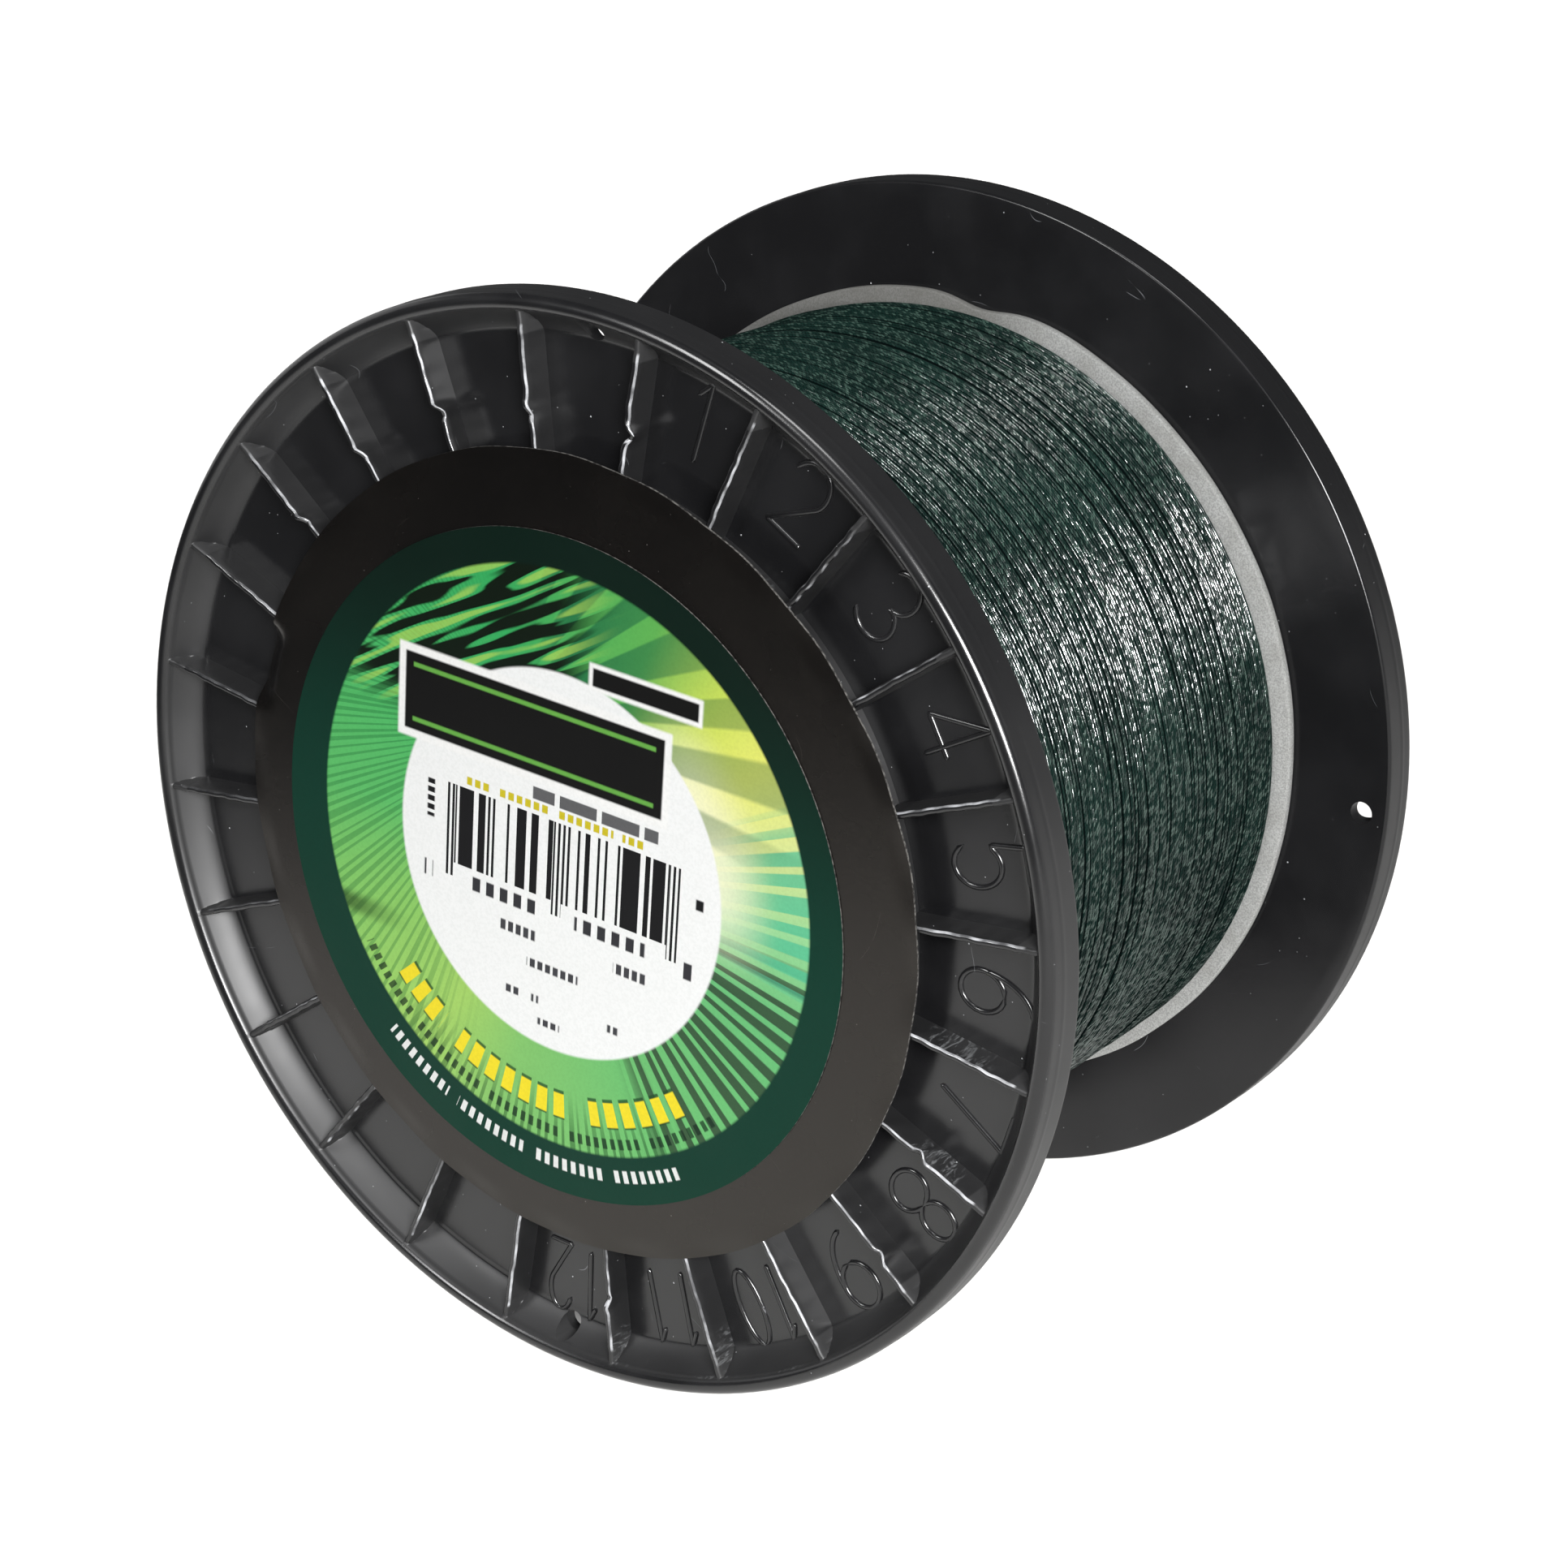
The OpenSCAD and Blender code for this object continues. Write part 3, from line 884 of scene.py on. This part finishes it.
def printed_paper():
    """The printed label: a generic burst of green and yellow, blank panels and bars, and no lettering."""
    s = Shader("printed_paper")
    x, _, z = s.axes(s.place)
    x = s.times(s.add(x, -ART_X), 1 / MM)
    z = s.times(s.add(z, -ART_Z), 1 / MM)
    cosine, sine = math.cos(ART_TURN), math.sin(ART_TURN)
    u = s.add(s.times(x, cosine), s.times(z, -sine))
    v = s.add(s.times(x, sine), s.times(z, cosine))

    def degrees_from(cx, cy):
        """Angle about a point, from -180 at the left through 0 at the right to 180."""
        return s.times(s.math("ARCTAN2", s.add(v, -cy), s.add(u, -cx)), 180 / math.pi)

    def ramp(value, stops):
        made = s.node("ShaderNodeValToRGB")
        s.plug(made.inputs[0], value)
        while len(made.color_ramp.elements) < len(stops):
            made.color_ramp.elements.new(0.5)
        for element, (at, colour) in zip(made.color_ramp.elements, stops):
            element.position = at
            element.color = srgb(*colour)
        return made.outputs[0]

    def box(left, right, bottom, top, soft=0.12):
        return s.times(s.band(u, left, right, soft), s.band(v, bottom, top, soft))

    def blocks(value, period, duty):
        """1 on the first part of every period along value."""
        return s.math("LESS_THAN", s.math("FRACT", s.times(value, 1 / period)), duty)

    def dashes(value, letter, duty, word):
        """Short blocks in groups along value."""
        return s.times(blocks(value, letter, duty), blocks(value, word, 0.86))

    def stripes(value, period, duty, ragged):
        """1 on soft stripes of a given period along value, with ragged spacing."""
        drift = s.times(s.add(s.noise(s.vector(X=value), 0.9 / period), -0.5), ragged)
        wave = s.math("SINE", s.times(s.add(s.times(value, 1 / period), drift), TAU))
        edge = math.cos(math.pi * duty)
        return s.spread(wave, edge - 0.25, edge + 0.25)

    rho = s.math("SQRT", s.add(s.times(u, u), s.times(v, v)))
    turn = degrees_from(0, 0)
    s.tone = ramp(s.math("ADD", s.times(turn, 1 / 360), 0.5, clamp=True), (
        (0.00, (94, 188, 104)), (0.07, (136, 200, 102)), (0.16, (164, 208, 104)),
        (0.22, (131, 194, 108)), (0.32, (110, 190, 112)), (0.46, (104, 188, 120)),
        (0.51, (150, 212, 150)), (0.56, (217, 228, 148)), (0.60, (231, 233, 116)),
        (0.64, (201, 220, 92)), (0.69, (96, 176, 84)), (0.80, (54, 170, 94)),
        (0.90, (72, 182, 102)), (1.00, (94, 188, 104)),
    ))
    # Fine lines that fan out from behind the panel
    s.paint((22, 108, 52), stripes(degrees_from(-5, 14), 1.9, 0.42, 1.6), s.spread(u, -20, -8, 1, 0), 0.42)
    # Dark radial stripes at the lower right, thin ones at the bottom
    s.paint((48, 66, 50), stripes(turn, 3.9, 0.56, 1.2), s.band(turn, -62, -3, 5), 0.9)
    bottom = s.band(turn, -128, -58, 8)
    s.paint((30, 84, 40), stripes(turn, 2.1, 0.45, 1.4), bottom, s.spread(rho, 25, 32), 0.6)
    # Cool streaks at the right, and the glow beside the white disc
    streaks = stripes(turn, 4.6, 0.5, 1.6)
    s.paint((84, 190, 146), streaks, s.band(turn, -8, 26, 6), s.spread(rho, 22, 30, 0.35, 0.85))
    s.paint((247, 246, 214), s.spread(rho, 21, 29, 0.8, 0), s.band(turn, -2, 52, 14))
    # Broad rays at the upper right
    rays = stripes(degrees_from(-9, 15), 13, 0.5, 1)
    s.paint((24, 104, 66), rays, s.band(turn, 22, 96, 9), s.spread(u, -6, 20, 0.9, 0.5))
    # Dark slanted leaves at the upper left
    slant = math.radians(31)
    leaves = s.vector(
        X=s.times(s.add(s.times(u, math.cos(slant)), s.times(v, math.sin(slant))), 0.075),
        Y=s.times(s.add(s.times(v, math.cos(slant)), s.times(u, -math.sin(slant))), 0.85),
    )
    leaf = s.noise(leaves, 1, 0.5)
    upper_left = s.times(s.band(turn, 84, 158, 9), s.spread(v, 10, 15))
    s.paint((10, 24, 13), s.spread(leaf, 0.48, 0.54), upper_left)
    s.paint((170, 212, 92), s.spread(leaf, 0.36, 0.44, 1, 0), upper_left, 0.65)
    # A dark wedge at the lower left
    off_wedge = s.math("ABSOLUTE", s.add(v, 13.6))
    s.paint((34, 62, 22), s.spread(off_wedge, 0.3, 1.8, 1, 0), s.spread(u, -30, -19, 1, 0), 0.75)
    # The dark ring round it all, and the white disc in the middle
    s.paint(s.mix(s.spread(v, -4, 30), (6, 56, 42), (7, 30, 22)), s.spread(rho, 32.3, 32.7))
    s.paint((243, 244, 243), s.spread(rho, 21.3, 21.7, 1, 0))

    # Blank panels where a maker would print a name
    def blank_panel(left, right, bottom, top, rim):
        s.paint((246, 246, 244), box(left - rim, right + rim, bottom - rim, top + rim, 0.2))
        s.paint((17, 17, 17), box(left, right, bottom, top, 0.15))

    blank_panel(-21.5, 13.2, 9.4, 18.2, 0.9)
    for low in (16.6, 10.4):
        s.paint((104, 172, 74), box(-20.4, 12.1, low, low + 0.5))
    blank_panel(3.6, 17.2, 21.3, 23.3, 0.5)
    s.paint((96, 96, 98), box(-3.6, 13, 6.6, 8, 0.08), blocks(u, 5.6, 0.88))

    # A bar pattern that carries no code
    module = s.math("FLOOR", s.times(s.add(u, 15.2), 1 / 0.33))
    pick = s.node("ShaderNodeTexWhiteNoise", {"W": module}, noise_dimensions="1D").outputs["Value"]
    bars = s.math("GREATER_THAN", pick, 0.46)
    guard = s.most(s.band(u, -15.3, -14.1, 0.02), s.band(u, -0.6, 0.7, 0.02), s.band(u, 14.7, 16.1, 0.02))
    ink = (22, 22, 24)
    s.paint(ink, bars, s.math("SUBTRACT", 1, guard), box(-15.3, 16.1, -4.2, 4.9, 0.04))
    s.paint(ink, blocks(module, 2, 0.4), guard, box(-15.3, 16.1, -5.8, 4.9, 0.04))

    # Rows of small blocks in place of print
    s.paint((206, 190, 40), dashes(u, 1.15, 0.66, 8.4), box(-12.6, 11.2, 5.4, 6.3, 0.08))
    below_bars = s.most(
        box(-18.2, -17, -6.8, -4.9), box(-12, -2.6, -6.6, -5), box(2.6, 12, -6.6, -5),
        box(17, 18.2, -7.2, -5.3),
    )
    s.paint((52, 52, 56), below_bars, blocks(u, 1.9, 0.56))
    s.paint(ink, box(-18, -17, 0.2, 4.6), blocks(v, 1, 0.62))
    s.paint(ink, box(18.2, 19.2, 1, 2.2))
    grey_rows = s.most(
        box(-7.6, -2.6, -9.7, -8.5), box(8, 12.4, -9.7, -8.5), box(-3.6, 3.4, -12.8, -11.8),
        box(-6.4, -4.4, -16.8, -15.9), box(-2.8, -1.8, -16.8, -15.9), box(7.6, 9, -16.8, -15.9),
        box(-1.8, 1.2, -19.2, -18.4),
    )
    s.paint((66, 66, 70), grey_rows, blocks(u, 1.05, 0.66))

    def arc_row(low, high, first, last, letter, word, duty=0.62):
        row = s.times(s.band(rho, low, high, 0.1), s.band(turn, first, last, 0.2))
        return s.times(row, dashes(turn, letter, duty, word))

    s.paint((24, 70, 34), arc_row(26, 29.4, -137.4, -50.4, 4.9, 39), 0.85)
    s.paint((240, 220, 44), arc_row(26.4, 29.2, -138, -51, 4.9, 39))
    s.paint((12, 40, 26), arc_row(30.5, 31.7, -146, -45, 2.1, 21, 0.55), 0.85)
    s.paint((228, 230, 228), arc_row(34.1, 35.5, -131, -59, 2, 18.5, 0.55))

    screen = s.noise(s.place, 3000, 2)
    s.paint(s.mix(1, s.tone, (196, 200, 196), "MULTIPLY"), s.spread(screen, 0.35, 0.7, 0, 0.12))
    rough = s.spread(s.noise(s.place, 80, 3), 0.3, 0.7, 0.45, 0.55)
    return s.done(Roughness=rough, Specular_IOR_Level=0.12, Normal=s.bump(screen, 0.12, 0.02 * MM))


def studio_floor():
    s = Shader("studio_floor")
    soft = s.noise(s.place, 6, 2)
    s.tone = s.mix(s.spread(soft, 0.3, 0.7), (238, 237, 235), (241, 240, 238))
    # Painted shadow: the floor is dark right under the spool
    x, y, _ = s.axes(s.place)
    across, deep = s.times(s.add(x, 6 * MM), 1 / (20 * MM)), s.times(s.add(y, 8 * MM), 1 / (31 * MM))
    away = s.add(s.times(across, across), s.times(deep, deep))
    s.paint((30, 30, 30), s.spread(away, 0.25, 1, 0.96, 0))
    return s.done(Roughness=0.75)


# -------- camera and stage

# The floor's own light: how far it reaches in front of the axis, its size and its height over the floor
FLOOR_LIGHT_EDGE = 0.18
FLOOR_LIGHT_DEPTH = 1.9
FLOOR_LIGHT_WIDTH = 3.2
FLOOR_LIGHT_HEIGHT = 0.5
FLOOR_LIGHT_POWER = 25

# The camera that was fitted to both flanges: its angles, and its place in flange radii
CAMERA_TURN = math.radians(36.2846)
CAMERA_RISE = math.radians(20.9496)
CAMERA_AWAY = 6.6847
CAMERA_RIGHT = 0.0171
CAMERA_UP = -0.0397
back = Vector((
    math.sin(CAMERA_TURN) * math.cos(CAMERA_RISE),
    -math.cos(CAMERA_TURN) * math.cos(CAMERA_RISE),
    math.sin(CAMERA_RISE),
))
right = Vector((math.cos(CAMERA_TURN), math.sin(CAMERA_TURN), 0))
up = back.cross(right)

camera = bpy.data.objects.new("camera", bpy.data.cameras.new("camera"))
camera.data.lens = 82.3
camera.data.sensor_width = 36
camera.data.clip_start = 0.01
camera.location = FLANGE_R * (CAMERA_AWAY * back + CAMERA_RIGHT * right + CAMERA_UP * up)
camera.rotation_euler = Matrix((right, up, back)).transposed().to_euler()
bpy.context.scene.collection.objects.link(camera)
bpy.context.scene.camera = camera
bpy.context.scene.view_settings.view_transform = "Standard"


def softbox(name, direction, distance, width, height, power, aim=(0, 0, 0), spread=180):
    lamp = bpy.data.lights.new(name, "AREA")
    lamp.shape = "RECTANGLE"
    lamp.size = width
    lamp.size_y = height
    lamp.energy = power
    lamp.spread = math.radians(spread)
    light = bpy.data.objects.new(name, lamp)
    light.location = Vector(aim) + Vector(direction).normalized() * distance
    light.rotation_euler = (light.location - Vector(aim)).to_track_quat("Z", "Y").to_euler()
    light.visible_camera = False
    bpy.context.scene.collection.objects.link(light)
    return light


key = softbox("key_softbox", (0.70, -0.63, 0.34), 0.8, 0.22, 0.28, 4.9)
side = softbox("side_softbox", (-0.30, -0.80, 0.50), 0.8, 0.16, 0.30, 3.0)
top = softbox("top_softbox", (0.144, -0.41, 0.90), 0.8, 0.20, 0.20, 2.0)
left_fill = softbox("left_fill", (-0.98, 0.05, 0.15), 1.0, 1.0, 0.9, 2.4)
right_fill = softbox("right_fill", (0.90, -0.10, -0.02), 1.0, 0.7, 0.5, 0.3)
flange_key = softbox("flange_key_softbox", (0.66, -0.65, 0.38), 0.8, 0.26, 0.30, 12.0)
line_key = softbox("line_key_softbox", (0.70, -0.63, 0.35), 0.8, 0.22, 0.22, 58.0)
line_top = softbox("line_top_softbox", (0.144, -0.41, 0.90), 0.8, 0.15, 0.13, 26.0)


def light_only(lights, targets):
    """Lets the lights reach these objects and nothing else."""
    lit = bpy.data.collections.new("lit_by_" + lights[0].name)
    for target in targets:
        lit.objects.link(target)
    for light in lights:
        light.light_linking.receiver_collection = lit
    return lit


world = bpy.data.worlds.new("studio")
world.use_nodes = True
background = world.node_tree.nodes["Background"].inputs
background["Color"].default_value = (0.93, 0.95, 1.0, 1)
background["Strength"].default_value = 0.08
bpy.context.scene.world = world

FLOOR_HALF = 4
floor_corners = [(x * FLOOR_HALF, y * FLOOR_HALF, -FLANGE_R) for x, y in ((-1, -1), (1, -1), (1, 1), (-1, 1))]
floor = mesh_object("studio_floor", floor_corners, [(0, 1, 2, 3)])
floor.data.materials.append(studio_floor())

# The floor has a light of its own, so that it is bright under and behind the spool and dim in front of it,
# where the glossy plastic and the label mirror it
toward_camera = Vector((back.x, back.y, 0)).normalized()
mirrored = Vector((-toward_camera.x, toward_camera.y, 0))
floor_centre = mirrored * (FLOOR_LIGHT_EDGE - FLOOR_LIGHT_DEPTH / 2) + Vector((0, 0, -FLANGE_R))
floor_light = softbox(
    "floor_light", (0, 0, 1), FLOOR_LIGHT_HEIGHT, FLOOR_LIGHT_DEPTH, FLOOR_LIGHT_WIDTH,
    FLOOR_LIGHT_POWER, aim=floor_centre, spread=15,
)
floor_light.rotation_euler = (0, 0, math.atan2(mirrored.y, mirrored.x))
floor_light.light_linking.blocker_collection = light_only([floor_light], [floor])
not_floor = light_only([key, top], [floor])
not_floor.collection_objects[0].light_linking.link_state = "EXCLUDE"

# -------- pieces

# Paler places on the front flange, rubbed and whitened at most, and at radius 42.1 two painted highlights on
# the seat ring's outer wall: angle, radius and depth below the crest in mm, size in mm
FRONT_WEAR_AND_HIGHLIGHTS = (
    (350.5, 49, 1.4, 5), (335, 51, 0.9, 4), (275, 57, 2.4, 3), (288, 57, 2.6, 5), (299, 56.6, 2.6, 4),
    (282, 51, 2.4, 2.5), (297, 50, 2.4, 2.5), (27, 42.1, 0.9, 3.5), (55.5, 42.1, 0.9, 3),
)


def scuff_points(wear_and_highlight_spots):
    """The paler spots, rubbed ones and painted highlights, as points of the front flange, each with its size.
    """
    turn, away, deep, size = np.transpose(wear_and_highlight_spots)
    points = facing_front(polar(away * MM, np.radians(turn), CREST - deep * MM))
    return list(zip(points.tolist(), size * MM))


black = moulded_plastic("flange_plastic_front", 0.5, scuff_points(FRONT_WEAR_AND_HIGHLIGHTS))
black_rear = moulded_plastic("flange_plastic_rear", 0.3, [((0.0023, WEB_IN, 0.0535), 1.6 * MM)])


def place(piece, node, slot, *materials):
    piece.data.materials.clear()
    for material in materials:
        piece.data.materials.append(material)
    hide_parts(node)
    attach(piece, "root")


# Kinks of the ribs: index of the rib, radius in mm, sideways step and bulge in mm
FRONT_KINKS = {
    5: (49.0, -0.1, -0.8), 6: (48.6, -0.5, 0.4), 7: (49.0, -0.95, -0.3), 8: (48.3, -0.9, 0.3),
    9: (47.6, -0.7, 0.2), 21: (53.0, 0.4, 0.3), 18: (51.5, 0.5, -0.3), 22: (50.0, 0.5, 0.5),
}
REAR_KINKS = {2: (50.0, 0.5, 0.3), 9: (48.0, -0.6, 0.3), 14: (52.0, 0.4, -0.3), 20: (47.0, -0.5, 0.2)}

front = flange("front_flange_moulding", 3, FRONT_KINKS, facing_front)
place(front, "front_flange", "flange_plastic", black)
rear = flange("rear_flange_moulding", 17, REAR_KINKS, lambda points: facing_rear(points, REAR_TURN))
place(rear, "rear_flange", "flange_plastic", black_rear)

winding = wound_braid()
place(winding, "wound_line", "braid", braid())

soft_grey = felt()
place(washer("front_spacer_washer", 5, facing_front, ()), "front_washer", "washer_felt", soft_grey)
place(
    washer("rear_spacer_washer", 12, facing_rear, ((97, 5, 1.0), (110, 9, -0.3))),
    "rear_washer", "washer_felt", soft_grey,
)

# The side light and the fills only pick out the ribs and lips of the black flanges
light_only([side, left_fill, right_fill, flange_key], [front, rear])

# The line has lights of its own, which give the two bands of glints round it
light_only([line_key, line_top], [winding])

edge_paper = paper_edge()
backing, backing_sides = disc("backing_disc", (0, 0), BACKING_R, SEAT, SEAT + BACKING_T, backing_shape)
place(backing, "backing_label", "label_backing", backing_paper(), edge_paper)
backing.data.polygons.foreach_set("material_index", backing_sides)
printed, printed_sides = disc(
    "printed_disc", (LABEL_X, LABEL_Z), LABEL_R, SEAT + BACKING_T, SEAT + BACKING_T + LABEL_T
)
place(printed, "printed_label", "label_print", printed_paper(), edge_paper)
printed.data.polygons.foreach_set("material_index", printed_sides)

for node, material in (("core_barrel", core_plastic()), ("starter_tape", paper_tape())):
    mesh = frame["nodes"][node].data
    mesh.materials.clear()
    mesh.materials.append(material)
